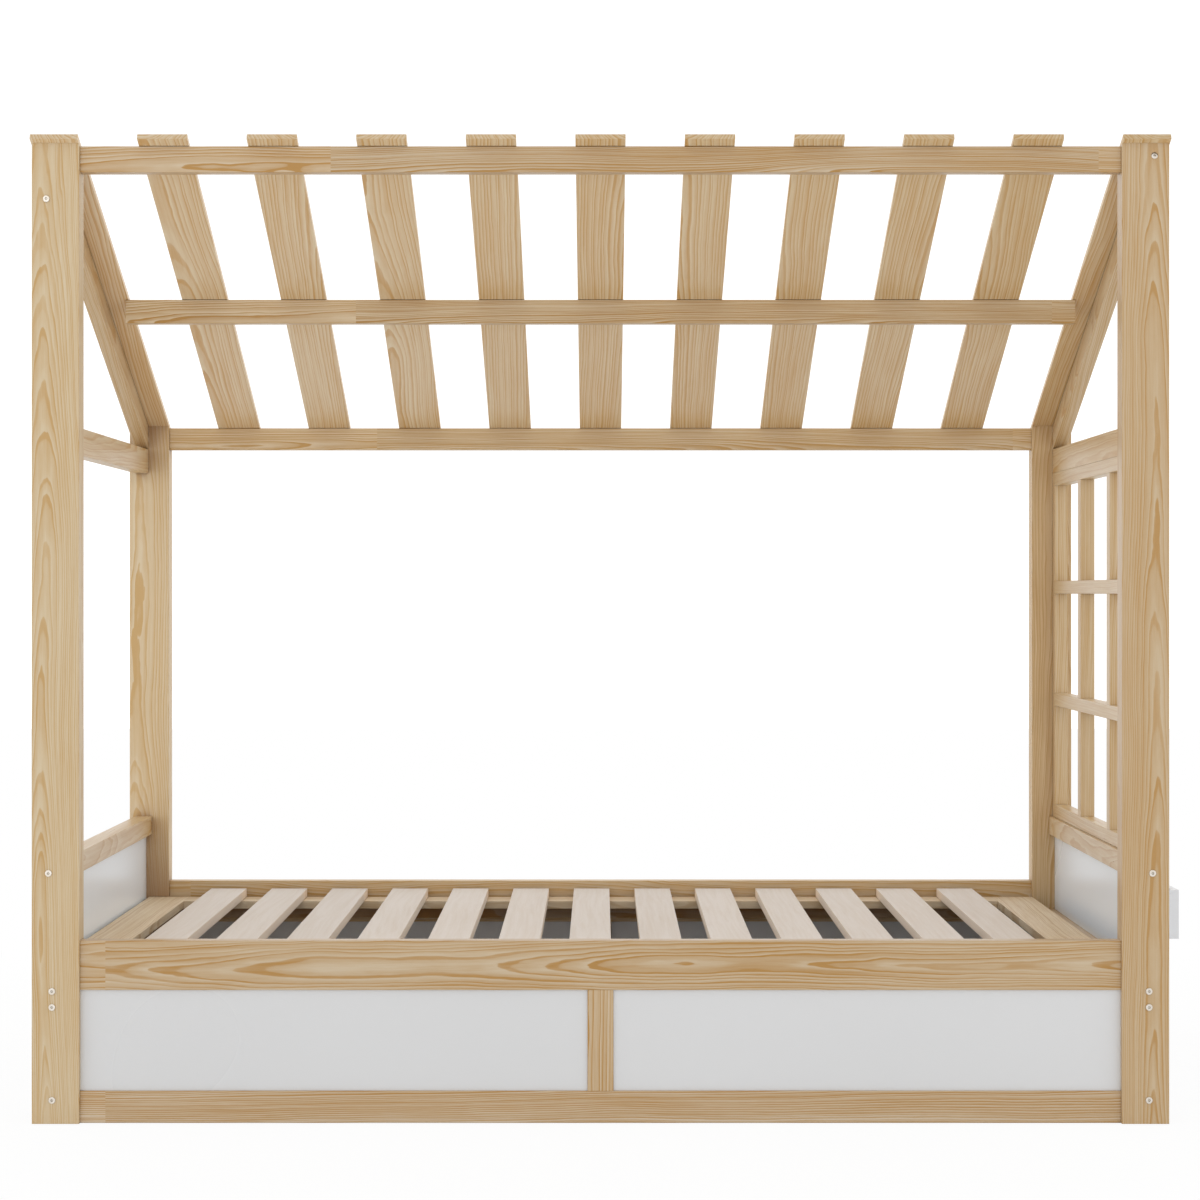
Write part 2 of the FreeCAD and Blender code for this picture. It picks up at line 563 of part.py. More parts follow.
def make_slat_frame():
    """Flat frame of four boards on two cleats, with the bed slats screwed on from below."""
    zs = (SLAT_FRAME_BOTTOM, SLAT_FRAME_TOP)
    depth = (-SLAT_FRAME_HALF_DEPTH, SLAT_FRAME_HALF_DEPTH)
    inner_left = SLAT_FRAME_LEFT + SLAT_FRAME_BOARD
    inner_right = SLAT_FRAME_RIGHT - SLAT_FRAME_BOARD
    end_boards = "slat_frame_end_boards"
    side_boards = "slat_frame_side_boards"
    add(end_boards, timber((SLAT_FRAME_LEFT, inner_left), depth, zs, Y_WAY, SLAT_EASE),
        timber((inner_right, SLAT_FRAME_RIGHT), depth, zs, Y_WAY, SLAT_EASE))
    for side in (FRONT, REAR):
        outer = side * SLAT_FRAME_HALF_DEPTH
        ys = (outer, outer - side * SLAT_FRAME_BOARD)
        add(side_boards, timber((inner_left, inner_right), ys, zs, X_WAY, SLAT_EASE))
        for x in (inner_left, inner_right):
            for across in (-22, 22):
                middle = FreeCAD.Vector(x, side * SLAT_FRAME_CENTRE_Y + across, sum(zs) / 2)
                join_with_dowel(middle, X_WAY, end_boards, side_boards)

    first_slat = BED_SLATS_CENTRE - BED_SLAT_PITCH * (BED_SLAT_COUNT - 1) / 2
    for index in range(BED_SLAT_COUNT):
        x = first_slat + index * BED_SLAT_PITCH
        add("bed_slats", timber((x - BED_SLAT_WIDTH / 2, x + BED_SLAT_WIDTH / 2), depth,
                                (SLAT_FRAME_TOP, BED_SLAT_TOP), Y_WAY, SLAT_EASE))
        for side in (FRONT, REAR):
            head = FreeCAD.Vector(x, side * SLAT_FRAME_CENTRE_Y, SLAT_FRAME_BOTTOM)
            drive_small_screw(head, Z_WAY, side_boards, "bed_slats")


def make_cleats():
    """Cleats on the inner faces of the long rails, which carry the slat frame."""
    for side in (FRONT, REAR):
        rail_face = side * (HALF_DEPTH - SIDE_INSET - TIMBER)
        inner_face = rail_face - side * CLEAT_DEPTH
        zs = (SLAT_FRAME_BOTTOM - CLEAT_HEIGHT, SLAT_FRAME_BOTTOM)
        add("slat_frame_cleats", timber((-CLEAT_HALF_LENGTH, CLEAT_HALF_LENGTH),
                                        (rail_face, inner_face), zs, X_WAY, SLAT_EASE))
        for x in (-800, -400, 0, 400, 800):
            drive_wood_screw(FreeCAD.Vector(x, inner_face, sum(zs) / 2), Y_WAY * side,
                             "slat_frame_cleats", SIDE_NAMES[side] + "_rail")


# Flower box

def make_flower_box():
    """Open box of painted boards, screwed through its tall back to the right guard rail."""
    board = FLOWER_BOX_BOARD
    back_inner = END_FACE + board
    front_inner = FLOWER_BOX_OUTER - board
    side_inner = FLOWER_BOX_HALF_LENGTH - board
    zs = (FLOWER_BOX_BOTTOM, FLOWER_BOX_TOP)
    length = (-FLOWER_BOX_HALF_LENGTH, FLOWER_BOX_HALF_LENGTH)
    between_ends = (-side_inner, side_inner)
    add("flower_box_long_boards",
        timber((END_FACE, back_inner), length, (FLOWER_BOX_BOTTOM, FLOWER_BOX_BACK_TOP), Y_WAY, SLAT_EASE),
        box((front_inner, FLOWER_BOX_OUTER), between_ends, zs))
    for side in (FRONT, REAR):
        add("flower_box_end_boards", box((back_inner, FLOWER_BOX_OUTER),
                                         (side * side_inner, side * FLOWER_BOX_HALF_LENGTH), zs))
    add("flower_box_bottom", box((back_inner, front_inner), between_ends,
                                 (FLOWER_BOX_BOTTOM, FLOWER_BOX_BOTTOM + board)))
    for y in (-250, -83, 83, 250):
        drive_small_screw(FreeCAD.Vector(back_inner, y, GUARD_BOLT_Z), X_WAY * -1,
                          "flower_box_long_boards", "right_guard_rail")


# Finish

def footprint_middle():
    """Middle of the whole bed's footprint, counted from the middle of the posts."""
    left = -(HALF_LENGTH + BOLT_HEAD_THICKNESS)
    overhang = ROOF_SLAT_OVERHANG * math.cos(ROOF_ANGLE)
    front = -(HALF_DEPTH + overhang)
    back = HALF_DEPTH + overhang + ROOF_SLAT_THICKNESS * math.sin(ROOF_ANGLE)
    return FreeCAD.Vector((left + FLOWER_BOX_OUTER) / 2, (front + back) / 2, 0)


def near(solid, tool):
    """Whether the boxes round two shapes meet."""
    return solid.BoundBox.intersect(tool.BoundBox)


def export():
    """Cut every hole, move each piece to the bed's origin and write one STEP file for each."""
    os.makedirs("parts", exist_ok=True)
    shift = footprint_middle() * -1
    for name, solids in nodes.items():
        finished = []
        for solid in solids:
            tools = [tool for tool in holes.get(name, []) if near(solid, tool)]
            if tools:
                solid = solid.cut(tools)
            finished += solid.Solids
        shape = finished[0] if len(finished) == 1 else Part.makeCompound(finished)
        shape.translate(shift)
        shape.exportStep("parts/" + name + ".step")
        print(name, len(finished), "solids, valid" if shape.isValid() else "solids, INVALID")


make_posts()
make_roof_beams()
make_end_frames()
make_heel_block()
make_roof_slats()
make_long_sides()
make_ends()
make_window()
make_slat_frame()
make_cleats()
make_flower_box()
export()
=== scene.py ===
"""House frame bed: pine grain, white lacquer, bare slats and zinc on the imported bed, in soft light."""
import math

import bpy
import numpy as np
from mathutils import Matrix, Vector


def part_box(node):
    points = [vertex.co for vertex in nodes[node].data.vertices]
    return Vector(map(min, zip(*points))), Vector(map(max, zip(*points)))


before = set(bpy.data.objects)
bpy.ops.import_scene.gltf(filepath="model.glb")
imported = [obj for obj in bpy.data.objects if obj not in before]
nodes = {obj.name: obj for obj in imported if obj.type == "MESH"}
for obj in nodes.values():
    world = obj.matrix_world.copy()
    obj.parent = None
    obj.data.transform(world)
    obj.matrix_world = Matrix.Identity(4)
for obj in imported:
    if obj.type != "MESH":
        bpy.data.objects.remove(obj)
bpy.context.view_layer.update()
seeds = np.random.default_rng(1741)

MM = 0.001
ROOF_FALL = 0.4216        # fall of the roof for each metre towards the back
ROOF_ANGLE = math.atan(ROOF_FALL)

# Ways of the grain, and ways out of the faces that show
X_WAY = Vector((1, 0, 0))
Y_WAY = Vector((0, 1, 0))
Z_WAY = Vector((0, 0, 1))
DOWN_THE_ROOF = Vector((0, math.cos(ROOF_ANGLE), -math.sin(ROOF_ANGLE)))
UNDER_THE_ROOF = Vector((0, -math.sin(ROOF_ANGLE), -math.cos(ROOF_ANGLE)))
FRONT = -Y_WAY
INTO_LEFT_END = X_WAY
INTO_RIGHT_END = -X_WAY
AXIS_X, AXIS_Y, AXIS_Z = range(3)

# The middle between the front posts and their front faces, which the floor and camera go by
MIDDLE_X = (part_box("post_front_left")[0].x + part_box("post_front_right")[1].x) / 2
FRONT_FACE_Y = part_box("post_front_left")[0].y


def tint(red, green, blue):
    """A screen colour from 0 to 255 a channel as the linear colour that a shader takes."""
    screen = np.array([red, green, blue]) / 255
    linear = np.where(screen <= 0.04045, screen / 12.92, ((screen + 0.055) / 1.055) ** 2.4)
    return (*linear.tolist(), 1.0)


BLACK = (0, 0, 0, 1)
WHITE = (1, 1, 1, 1)
# Painted shade: a brown laid where timbers meet and in tight corners, and a warmer brown deep in wide
# corners
CONTACT_SHADE_BROWN = tint(78, 56, 34)
HOLLOW_SHADE_BROWN = tint(120, 66, 20)


# Shader building

def put(tree, kind, sockets=None, **settings):
    """One shader node, its settings made and each socket given a value or a link."""
    made = tree.nodes.new(kind)
    for key, value in settings.items():
        setattr(made, key, value)
    for key, value in (sockets or {}).items():
        if isinstance(value, bpy.types.NodeSocket):
            tree.links.new(value, made.inputs[key])
        else:
            made.inputs[key].default_value = value
    return made


def calc(tree, operation, first, second=0.0, third=0.0):
    """The result of one Math node."""
    return put(tree, "ShaderNodeMath", {0: first, 1: second, 2: third},
               operation=operation).outputs[0]


def vector_calc(tree, operation, first, second=(0, 0, 0)):
    """The result of one Vector Math node: one value for a length or a dot product."""
    made = put(tree, "ShaderNodeVectorMath", {0: first, 1: second}, operation=operation)
    return made.outputs["Value" if operation in ("LENGTH", "DOT_PRODUCT") else "Vector"]


def noise(tree, place, fineness, detail=2.0, roughness=0.5, output="Fac"):
    """A noise with this many lumps to the metre along each axis, as one value or as a Color."""
    stretched = vector_calc(tree, "MULTIPLY", place, fineness)
    return put(tree, "ShaderNodeTexNoise", {"Vector": stretched, "Scale": 1.0, "Detail": detail,
                                            "Roughness": roughness}).outputs[output]


def centred(tree, colour, reach):
    """A random colour turned into a shift of up to half of reach either way on each axis."""
    return vector_calc(tree, "MULTIPLY",
                       vector_calc(tree, "SUBTRACT", colour, (0.5, 0.5, 0.5)), reach)


def span(tree, value, low, high, to_low, to_high):
    """A value's range from low to high carried over to another range, and held at its ends."""
    return put(tree, "ShaderNodeMapRange", {"Value": value, "From Min": low, "From Max": high,
                                            "To Min": to_low, "To Max": to_high}).outputs[0]


def curve(tree, value, points):
    """A value passed through a smooth curve of (place, height) points."""
    made = put(tree, "ShaderNodeFloatCurve", {"Value": value})
    line = made.mapping.curves[0]
    line.points[0].location = points[0]
    line.points[1].location = points[-1]
    for point in points[1:-1]:
        line.points.new(*point)
    made.mapping.update()
    return made.outputs[0]


def blend_colour(tree, factor, first, second):
    """Two colours mixed by a factor. Sockets 6 and 7 of a Mix node are its two colours."""
    return put(tree, "ShaderNodeMix", {0: factor, 6: first, 7: second},
               data_type="RGBA").outputs[2]


def blend_shader(tree, factor, first, second):
    """Two shaders mixed by a factor."""
    return put(tree, "ShaderNodeMixShader", {0: factor, 1: first, 2: second}).outputs[0]


def object_place(tree):
    """The piece's own coordinates, which are those of the whole frame."""
    return put(tree, "ShaderNodeTexCoord").outputs["Object"]


def along_axis(tree, place, axis):
    """One coordinate of a place."""
    return put(tree, "ShaderNodeSeparateXYZ", {0: place}).outputs[axis]


def facing(tree, way):
    """How squarely the surface looks along a direction: 1 straight along it, -1 away."""
    own = put(tree, "ShaderNodeNewGeometry").outputs["Normal"]
    return vector_calc(tree, "DOT_PRODUCT", own, way)


def painted_shade_share(tree, reach, closed, clear, most, samples=8):
    """How much painted shade shows in a corner: most where it is closed in, none in the clear.

    It goes by the share of the rays round a point that meet nothing within reach: closed or
    less gives most, and clear or more gives 0.
    """
    free = put(tree, "ShaderNodeAmbientOcclusion", {"Distance": reach}, samples=samples)
    return span(tree, free.outputs["AO"], closed, clear, most, 0.0)


def stairs(tree, axis, places, heights):
    """A value that starts at the first height and changes to the next one at each place."""
    value = along_axis(tree, object_place(tree), axis)
    level = float(heights[0])
    for place, rise in zip(places, np.diff(heights)):
        passed = calc(tree, "GREATER_THAN", value, place)
        level = calc(tree, "MULTIPLY_ADD", passed, float(rise), level)
    return level


def new_group(name, inputs, outputs):
    """An empty node group with these sockets, and its two end nodes."""
    group = bpy.data.node_groups.new(name, "ShaderNodeTree")
    for label, kind in inputs:
        group.interface.new_socket(name=label, in_out="INPUT", socket_type="NodeSocket" + kind)
    for label, kind in outputs:
        group.interface.new_socket(name=label, in_out="OUTPUT", socket_type="NodeSocket" + kind)
    return group, group.nodes.new("NodeGroupInput"), group.nodes.new("NodeGroupOutput")


def new_material(name):
    """An empty node material, its tree and its Principled shader."""
    material = bpy.data.materials.new(name)
    material.use_nodes = True
    tree = material.node_tree
    return material, tree, tree.nodes["Principled BSDF"]


def fill_shader(tree, shader, colour, rough, height, relief, strength):
    """Colour, roughness and a fine relief of this depth, led to the Principled shader."""
    bump = put(tree, "ShaderNodeBump", {"Height": height, "Strength": strength,
                                        "Distance": relief}).outputs[0]
    for label, value in (("Base Color", colour), ("Roughness", rough), ("Normal", bump)):
        tree.links.new(value, shader.inputs[label])


def dress(material, *covered):
    """The material laid on every slot of these pieces."""
    for piece in covered:
        for slot in nodes[piece].material_slots:
            slot.material = material


# Pine

# How dark a year's wood is from its start to its end: pale early wood, then the late line
YEAR_CURVE = ((0.0, 0.30), (0.05, 0.04), (0.22, 0.13), (0.42, 0.34), (0.60, 0.42),
              (0.69, 0.58), (0.77, 0.96), (0.86, 1.0), (0.95, 0.90), (1.0, 0.30))

# What moves the pith off its line: lumps to the metre, detail, and how far it moves, in metres
SLOW_PATH = ((1.3, 0, 0), 1.0, (0, 0.050, 0.045))
TRUNK_SWELLINGS = ((3.4, 15.0, 15.0), 2.0, (0, 0.011, 0.011))
RIPPLES = ((13.0, 55.0, 55.0), 2.0, (0, 0.0030, 0.0030))

CROWDING_RATE = 0.55      # turns from crowded years to wide ones, for each year
CROWDING = 1.6            # how far that moves a ring, in years
FIBRE_RELIEF = 0.6        # shares of the fibre and of the late wood in the relief
LATE_RELIEF = 0.5
STREAK_ROUGHNESS = 0.16   # what a streak and a late line add to the roughness
LATE_ROUGHNESS = -0.06
TIGHT_EDGE = 0.86         # cosine between a tight edge's own direction and the mean round it


def make_rings_group():
    """The growth rings of a log, met by whatever surface reads them.

    A point's distance from the pith, which lies on the X axis and wanders along it, is
    divided by the width of a year. The fraction that is left over runs from pale early wood
    up to a brown line of late wood, and falls off sharply where the next year starts.
    """
    group, given, result = new_group(
        "pine_rings",
        [("Vector", "Vector"), ("Year", "Float"), ("Wander", "Float"), ("Lines", "Float"),
         ("Pale", "Color"), ("Late", "Color")],
        [("Color", "Color"), ("Roughness", "Float"), ("Height", "Float")])
    place = given.outputs["Vector"]

    slow, swell, ripple = [
        centred(group, noise(group, place, fineness, detail, output="Color"), reach)
        for fineness, detail, reach in (SLOW_PATH, TRUNK_SWELLINGS, RIPPLES)]
    drift = vector_calc(group, "ADD", slow, vector_calc(group, "ADD", swell, ripple))
    drift = put(group, "ShaderNodeVectorMath", {0: drift, "Scale": given.outputs["Wander"]},
                operation="SCALE").outputs["Vector"]
    across = vector_calc(group, "MULTIPLY", place, (0, 1, 1))
    radius = vector_calc(group, "LENGTH", vector_calc(group, "ADD", across, drift))

    # Years of uneven width, each with a late line of its own strength, stronger in patches
    years = calc(group, "DIVIDE", radius, given.outputs["Year"])
    uneven = put(group, "ShaderNodeTexNoise",
                 {"W": calc(group, "MULTIPLY", years, CROWDING_RATE), "Scale": 1.0, "Detail": 1.0},
                 noise_dimensions="1D").outputs["Fac"]
    years = calc(group, "MULTIPLY_ADD", uneven, CROWDING, years)
    late = curve(group, calc(group, "FRACT", years), YEAR_CURVE)
    each = put(group, "ShaderNodeTexWhiteNoise", {"W": calc(group, "FLOOR", years)},
               noise_dimensions="1D").outputs["Value"]
    late = calc(group, "MULTIPLY", late, span(group, each, 0.0, 1.0, 0.55, 1.05))
    patches = noise(group, place, (3.0, 22.0, 22.0))
    late = calc(group, "MULTIPLY", late, span(group, patches, 0.3, 0.7, 0.70, 1.15))

    # Streaks of resin-dark and of bleached wood, broad changes of tone, and the fibre
    drifted = vector_calc(group, "ADD", place, drift)
    streak = noise(group, drifted, (2.2, 120.0, 120.0), 3.0, 0.6)
    fibre = noise(group, place, (26.0, 900.0, 900.0), 2.0, 0.6)
    broad = noise(group, place, (1.7, 9.0, 9.0), 1.0)

    amount = calc(group, "MULTIPLY", late, given.outputs["Lines"])
    for part, low, high, least, most in ((streak, 0.35, 0.75, -0.04, 0.36),
                                         (broad, 0.3, 0.7, -0.06, 0.12),
                                         (fibre, 0.3, 0.7, -0.07, 0.07)):
        amount = calc(group, "ADD", amount, span(group, part, low, high, least, most))
    colour = blend_colour(group, amount, given.outputs["Pale"], given.outputs["Late"])
    height = calc(group, "MULTIPLY_ADD", fibre, FIBRE_RELIEF,
                  calc(group, "MULTIPLY", late, LATE_RELIEF))
    rough = calc(group, "MULTIPLY_ADD", streak, STREAK_ROUGHNESS,
                 calc(group, "MULTIPLY", late, LATE_ROUGHNESS))
    group.links.new(colour, result.inputs["Color"])
    group.links.new(rough, result.inputs["Roughness"])
    group.links.new(height, result.inputs["Height"])
    return group


def make_edge_group():
    """How much a point lies on a rounded edge: 0 on a flat face, up to 1 on a tight edge.

    The surface's own direction is compared with the direction averaged over a small ball.
    """
    group, given, result = new_group("edge_wear_and_painted_light", [("Reach", "Float")], [("Edge", "Float")])
    ball = put(group, "ShaderNodeBevel", {"Radius": given.outputs["Reach"]}, samples=4)
    match = facing(group, ball.outputs[0])
    group.links.new(span(group, match, 1.0, TIGHT_EDGE, 0.0, 1.0), result.inputs["Edge"])
    return group


RINGS = make_rings_group()
EDGE = make_edge_group()
RINGS_ROUGHNESS = 0.04    # what the rings and streaks add to the roughness, on average
EDGE_POLISH = -0.06       # what a rubbed edge adds to it
EDGE_DARKER = 0.30        # how much of the late wood's tone shows on a rounded edge, as painted shade
WOOD_EDGE = 1.8 * MM      # how far from an edge the wood's polish and its painted edge shade reach
SQUARE_ON = 0.7           # a face that looks along a direction by more than this is square to it
SPLIT_START = 0.37        # the first length's number, which its own part of a log goes by
SPLIT_JUMP = (9.0, 0.034, 0.020)   # how far apart the lengths' parts of a log lie, in metres


def edge_of(tree, reach):
    """How much a point lies on an edge rounded by about this reach."""
    return put(tree, "ShaderNodeGroup", {"Reach": reach}, node_tree=EDGE).outputs["Edge"]


def board_place(tree, middle, along, out, pith, start, lean):
    """Coordinates in which X runs along the grain and the pith is the X axis.

    middle is the board's middle, out points out of its main face, and pith is how far from
    that middle the pith lies, across the face and outwards. lean is how much deeper it lies
    for each metre along the board, so that the rings end in flames that point the same way.
    """
    tilt = Matrix.Rotation(-math.atan(lean), 3, "Y")
    turn = tilt @ Matrix((along, out.cross(along), out))
    shift = -(turn @ middle) - Vector((start, pith[0], pith[1]))
    return put(tree, "ShaderNodeMapping", {"Vector": object_place(tree), "Location": shift,
                                           "Rotation": turn.to_euler("XYZ")}).outputs[0]


def another_log(tree, place, split_axis, splits):
    """Coordinates that jump to another part of a log at each split."""
    count = stairs(tree, split_axis, splits, np.arange(len(splits) + 1) + SPLIT_START)
    chance = put(tree, "ShaderNodeTexWhiteNoise", {"W": count}, noise_dimensions="1D")
    return vector_calc(tree, "ADD", place, centred(tree, chance.outputs["Color"], SPLIT_JUMP))


def wood(name, along, out, pith, pale, late, lines=1.0, year=4.2, wander=1.0, lean=0.02,
         splits=(), split_axis=AXIS_X, shades=(0.0,), dull=0.32, deeper=0.0, seam_shade=0.0,
         hollow_shade=0.0, lit_sides_tone=None):
    """A timber of the bed in wood whose rings follow its own length.

    along is the way of the grain, and out the way out of the face that shows. pith is where
    the pith lies from the timber's middle, across that face and outwards, and year how wide
    a year is, both in mm. pale and late are the tones of the two woods, lines how strongly
    the late one shows, and wander how far the pith strays. lean is as in board_place. dull
    is the roughness.

    splits are places along split_axis where one length of wood ends and the next starts,
    each with its own part of a log and its own shade, a part of 1 that it is darker by.
    deeper is the part that the ends and the back are darker by: on the ends the darker tone
    of end grain, on the back painted shade, which leaves the face that shows paler as if lit.
    seam_shade is how much painted contact shade, in brown, shows on the last millimetres
    before another timber, and hollow_shade how much painted shade, in a warmer brown, shows
    in the depth of wide corners. lit_sides_tone is a paler tone for the two long edges:
    painted light, for faces that little light reaches.
    """
    low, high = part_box(name)
    material, tree, shader = new_material(name + "_wood")
    place = board_place(tree, (low + high) / 2, along, out, Vector(pith) * MM,
                        seeds.uniform(-20, 20), lean)
    if len(splits):
        place = another_log(tree, place, split_axis, splits)
    rings = put(tree, "ShaderNodeGroup", {"Vector": place, "Year": year * MM, "Wander": wander,
                                          "Lines": lines, "Pale": tint(*pale),
                                          "Late": tint(*late)}, node_tree=RINGS)
    edge = edge_of(tree, WOOD_EDGE)
    long_edge = calc(tree, "ABSOLUTE", facing(tree, out.cross(along)))
    colour = rings.outputs["Color"]
    if len(splits):
        colour = blend_colour(tree, stairs(tree, split_axis, splits, shades), colour, BLACK)
    # Painted light: the two long edges take a paler, warmer tone, for faces that little light reaches
    if lit_sides_tone:
        beside = calc(tree, "GREATER_THAN", long_edge, SQUARE_ON)
        colour = blend_colour(tree, beside, colour, tint(*lit_sides_tone))
    # The ends take the darker tone of end grain, and the back painted shade, so that the face that shows
    # stays paler as if lit
    if deeper:
        squarely = calc(tree, "MAXIMUM", facing(tree, out), long_edge)
        other = calc(tree, "LESS_THAN", squarely, SQUARE_ON)
        colour = blend_colour(tree, calc(tree, "MULTIPLY", other, deeper), colour, BLACK)
    # Painted shade where another timber meets this one, in brown
    if seam_shade:
        seam = painted_shade_share(tree, 3 * MM, closed=0.66, clear=0.90, most=seam_shade)
        colour = blend_colour(tree, seam, colour, CONTACT_SHADE_BROWN)
    # Painted shade deep in wide corners, in a warmer brown
    if hollow_shade:
        hollow = painted_shade_share(tree, 120 * MM, closed=0.35, clear=0.85, most=hollow_shade)
        colour = blend_colour(tree, hollow, colour, HOLLOW_SHADE_BROWN)
    # Painted shade along the rounded edges, in the late wood's tone
    colour = blend_colour(tree, calc(tree, "MULTIPLY", edge, EDGE_DARKER), colour, tint(*late))
    # Painted shade in tight inner corners, in brown
    corner = painted_shade_share(tree, 5 * MM, closed=0.15, clear=0.75, most=0.60, samples=4)
    colour = blend_colour(tree, corner, colour, CONTACT_SHADE_BROWN)
    rough = calc(tree, "ADD", rings.outputs["Roughness"], dull - RINGS_ROUGHNESS)
    rough = calc(tree, "MULTIPLY_ADD", edge, EDGE_POLISH, rough)
    fill_shader(tree, shader, colour, rough, rings.outputs["Height"], relief=0.3 * MM,
                strength=0.35)
    dress(material, name)


# Tones of the pale and the late wood from 0 to 255 a channel, near the front and farther back, the
# farther ones paler as painted light that makes up for the weaker light reaching them
PINE = (202, 182, 152)
LATE_PINE = (175, 131, 66)
FAR_PINE_PAINTED_LIGHTER = (212, 191, 157)
FAR_LATE_PAINTED_LIGHTER = (187, 145, 80)
BARE_LATE = (190, 158, 112)

# Where one length of a timber is glued to the next, from the photograph
BEAM_SPLITS = (-0.513, 0.853)
RAIL_SPLITS = (-0.9137,)
GUARD_SPLITS = (0.44,)

# Where the two timbers of one node are told apart
BETWEEN_THE_TWO = (0.0,)
WINDOW_MID_HEIGHT = (0.8,)

# Posts. The rear ones are paler as painted light that makes up for the weaker light reaching them, and
# the left ones are paler than the right partly as painted light from the left, partly in their own tone.
# The rear ones also take painted shade deep in their wide corners.
wood("post_front_left", Z_WAY, FRONT, pith=(24, -14), pale=(208, 189, 156),
     late=(189, 152, 96), year=3.1, wander=0.8, lean=0.035, dull=0.42)
wood("post_front_right", Z_WAY, FRONT, pith=(-17, -14), pale=(199, 177, 144),
     late=(179, 138, 80), year=3.2, wander=0.8, lean=0.022)
wood("post_rear_left", Z_WAY, FRONT, pith=(22, -20), pale=(221, 203, 171),
     late=(202, 166, 110), lean=0.035, dull=0.42, hollow_shade=0.62)
wood("post_rear_right", Z_WAY, FRONT, pith=(-20, -22), pale=(217, 193, 154),
     late=(189, 151, 95), lean=0.035, dull=0.42, hollow_shade=0.14)

# Long beams of the roof
BEAM_GRAIN = {"year": 3.0, "wander": 0.7, "splits": BEAM_SPLITS}
wood("ridge_beam", X_WAY, FRONT, pith=(-15, -9), pale=(205, 186, 157), late=LATE_PINE,
     lines=1.3, lean=-0.016, shades=(0.0, 0.07, 0.01), **BEAM_GRAIN)
wood("purlin", X_WAY, FRONT, pith=(-14, -9), pale=(213, 194, 162), late=LATE_PINE,
     lines=1.2, lean=-0.016, shades=(0.0, 0.06, 0.02), **BEAM_GRAIN)
wood("eave_beam", X_WAY, FRONT, pith=(-10, -9), pale=(217, 197, 165), late=FAR_LATE_PAINTED_LIGHTER,
     lines=1.45, lean=0.016, shades=(0.0, 0.06, 0.01), **BEAM_GRAIN)

# Front and rear of the bed box. The rear rail is paler as painted light, and takes painted shade deep in
# its wide corners.
wood("front_rail", X_WAY, FRONT, pith=(8, -24), pale=PINE, late=LATE_PINE, year=4.7,
     wander=1.1, lean=-0.022, splits=RAIL_SPLITS, shades=(0.0, 0.03))
wood("front_bottom_rail", X_WAY, FRONT, pith=(62, -18), pale=(207, 189, 163), late=LATE_PINE,
     lines=1.4, year=3.6, wander=0.7, splits=RAIL_SPLITS, shades=(0.0, 0.04))
wood("front_stile", Z_WAY, FRONT, pith=(34, -40), pale=PINE, late=LATE_PINE, wander=0.5)
wood("rear_rail", X_WAY, FRONT, pith=(10, -32), pale=(223, 203, 169), late=(198, 157, 92),
     splits=RAIL_SPLITS, shades=(0.0, 0.05), hollow_shade=0.2)
wood("rear_bottom_rail", X_WAY, FRONT, pith=(70, -30), pale=PINE, late=LATE_PINE, wander=0.6)
wood("rear_stile", Z_WAY, FRONT, pith=(24, -40), pale=PINE, late=LATE_PINE, wander=0.5)

# The two ends
for end, inward in (("left", INTO_LEFT_END), ("right", INTO_RIGHT_END)):
    wood("rafter_" + end, DOWN_THE_ROOF, inward, pith=(12, -48), pale=FAR_PINE_PAINTED_LIGHTER, late=FAR_LATE_PAINTED_LIGHTER)
    wood("tie_beam_" + end, Y_WAY, inward, pith=(24, -34), pale=FAR_PINE_PAINTED_LIGHTER, late=FAR_LATE_PAINTED_LIGHTER,
         wander=0.7)
    wood(end + "_guard_rail", Y_WAY, inward, pith=(14, -44), pale=FAR_PINE_PAINTED_LIGHTER, late=FAR_LATE_PAINTED_LIGHTER,
         splits=GUARD_SPLITS, split_axis=AXIS_Y, shades=(0.03, 0.0))
    wood(end + "_mid_rail", Y_WAY, inward, pith=(-10, -30), pale=PINE, late=LATE_PINE)
    wood(end + "_bottom_rail", Y_WAY, inward, pith=(28, -40), pale=PINE, late=LATE_PINE)
wood("rafter_heel_block", Y_WAY, INTO_LEFT_END, pith=(10, -30), pale=FAR_PINE_PAINTED_LIGHTER, late=FAR_LATE_PAINTED_LIGHTER)

# Window, whose uprights are cut aslant to the rings, so that both their faces are straight-grained
WINDOW_WOOD = {"pale": FAR_PINE_PAINTED_LIGHTER, "late": FAR_LATE_PAINTED_LIGHTER, "wander": 0.6}
UPRIGHTS = {"lines": 0.6, "year": 3.2, "splits": BETWEEN_THE_TWO, "split_axis": AXIS_Y}
CROSSWISE = {"lines": 0.7, "splits": WINDOW_MID_HEIGHT, "split_axis": AXIS_Z}
wood("window_stiles", Z_WAY, INTO_RIGHT_END, pith=(50, -480), shades=(0.02, 0.0),
     **WINDOW_WOOD, **UPRIGHTS)
wood("window_rails", Y_WAY, INTO_RIGHT_END, pith=(40, -30), shades=(0.0, 0.02),
     **WINDOW_WOOD, **CROSSWISE)
wood("window_crossbars", Y_WAY, INTO_RIGHT_END, pith=(44, -30), shades=(0.0, 0.02),
     **WINDOW_WOOD, **CROSSWISE)
wood("window_muntins", Z_WAY, INTO_RIGHT_END, pith=(48, -190), shades=(0.0, 0.02),
     **WINDOW_WOOD, **UPRIGHTS)

